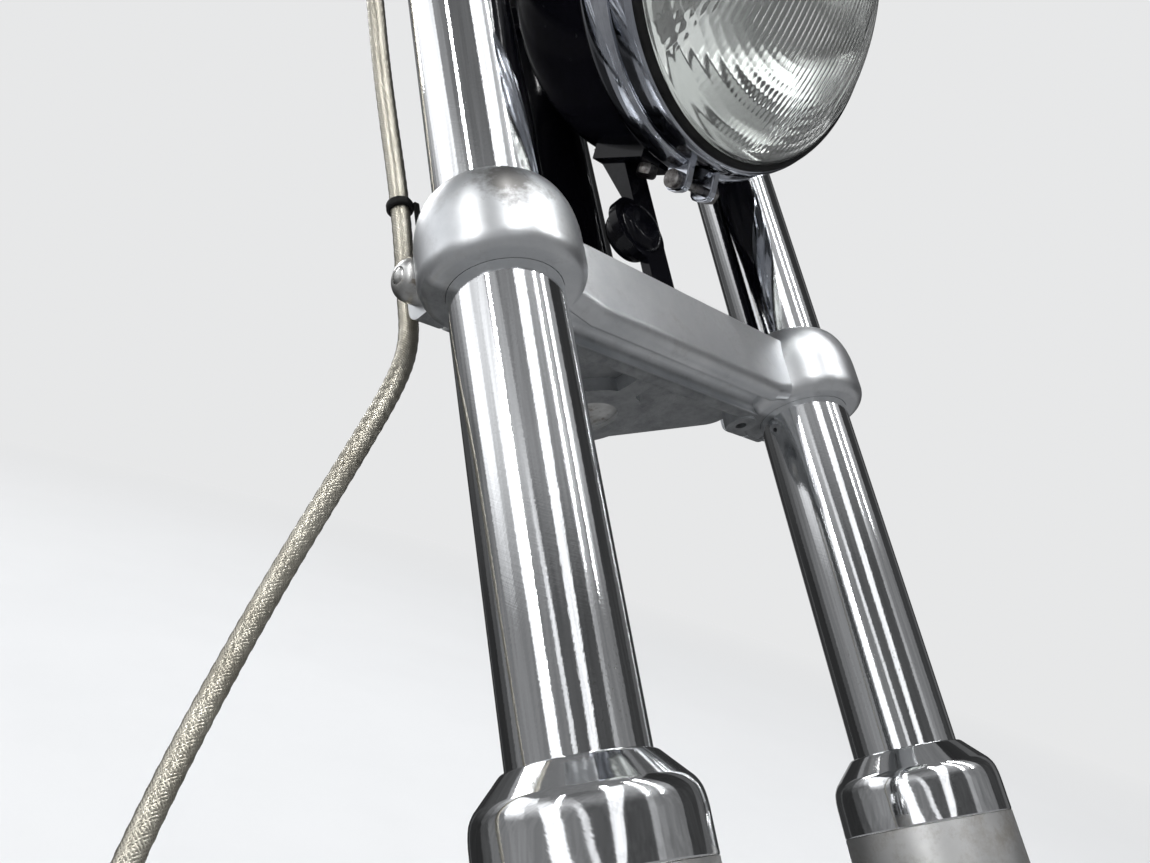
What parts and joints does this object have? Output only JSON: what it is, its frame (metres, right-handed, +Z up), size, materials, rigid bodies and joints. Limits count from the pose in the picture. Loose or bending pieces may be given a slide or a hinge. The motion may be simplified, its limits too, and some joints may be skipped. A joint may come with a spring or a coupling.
{
  "type": "motorcycle front fork assembly",
  "caption": "Raked telescopic motorcycle fork with steering neck, two yokes, chromed tubes, headlamp, brake caliper and braided hose.",
  "frame": {"origin": "middle of the steering neck, on the steering axis", "axes": "+X to the rider's left, -Y forward, +Z up as the motorcycle stands; the steering axis leans back 36 degrees in the YZ plane"},
  "size_m": [0.3201, 0.5598, 0.7188],
  "materials": {
    "chrome": "polished",
    "tube_chrome": "hard chrome, ground",
    "cast_yoke": "lightly polished casting",
    "slider_alloy": "dull cast",
    "black_gloss": "gloss black",
    "zinc_steel": "zinc plated",
    "braided_hose": "braided steel under clear cover",
    "rubber": "matt",
    "headlamp_glass": "fluted",
    "reflector": "silvered",
    "bulb": "clear",
    "brake_alloy": "satin cast",
    "friction": "friction material"
  },
  "bodies": {
    "neck": {"steering_neck": "black_gloss", "bearing_cup_lower": "black_gloss", "bearing_cup_upper": "black_gloss"},
    "fork": {"steering_stem": "zinc_steel", "bearing_shield_lower": "zinc_steel", "bearing_shield_upper": "zinc_steel", "stem_adjuster": "zinc_steel", "stem_nut": "chrome", "lower_yoke": "cast_yoke", "upper_yoke": "cast_yoke", "brake_caliper": "brake_alloy", "brake_pads": "friction", "caliper_bolts": "zinc_steel", "banjo_fitting": "zinc_steel", "brake_hose": "braided_hose", "hose_clip": "rubber", "hose_ferrule": "zinc_steel", "brake_union": "zinc_steel", "headlamp_ring": "chrome", "headlamp_ring_screw": "zinc_steel", "headlamp_bucket": "black_gloss", "headlamp_gasket": "rubber", "headlamp_lens": "headlamp_glass", "headlamp_reflector": "reflector", "headlamp_bulb": "bulb", "headlamp_bracket": "black_gloss", "headlamp_bolt": "zinc_steel", "bracket_boss": "black_gloss", "pinch_bolt_lower_left": "zinc_steel", "pinch_bolt_upper_left": "zinc_steel", "fork_tube_left": "tube_chrome", "fork_cap_left": "chrome", "dust_cover_left": "chrome", "slider_left": "slider_alloy", "pinch_bolt_lower_right": "zinc_steel", "pinch_bolt_upper_right": "zinc_steel", "fork_tube_right": "tube_chrome", "fork_cap_right": "chrome", "dust_cover_right": "chrome", "slider_right": "slider_alloy"}
  },
  "joints": [
    {"name": "steering", "type": "hinge", "parent": "neck", "child": "fork", "pos_m": [0, 0, 0], "axis": [0, 0.5878, 0.809], "range_deg": [-38, 38]}
  ]
}
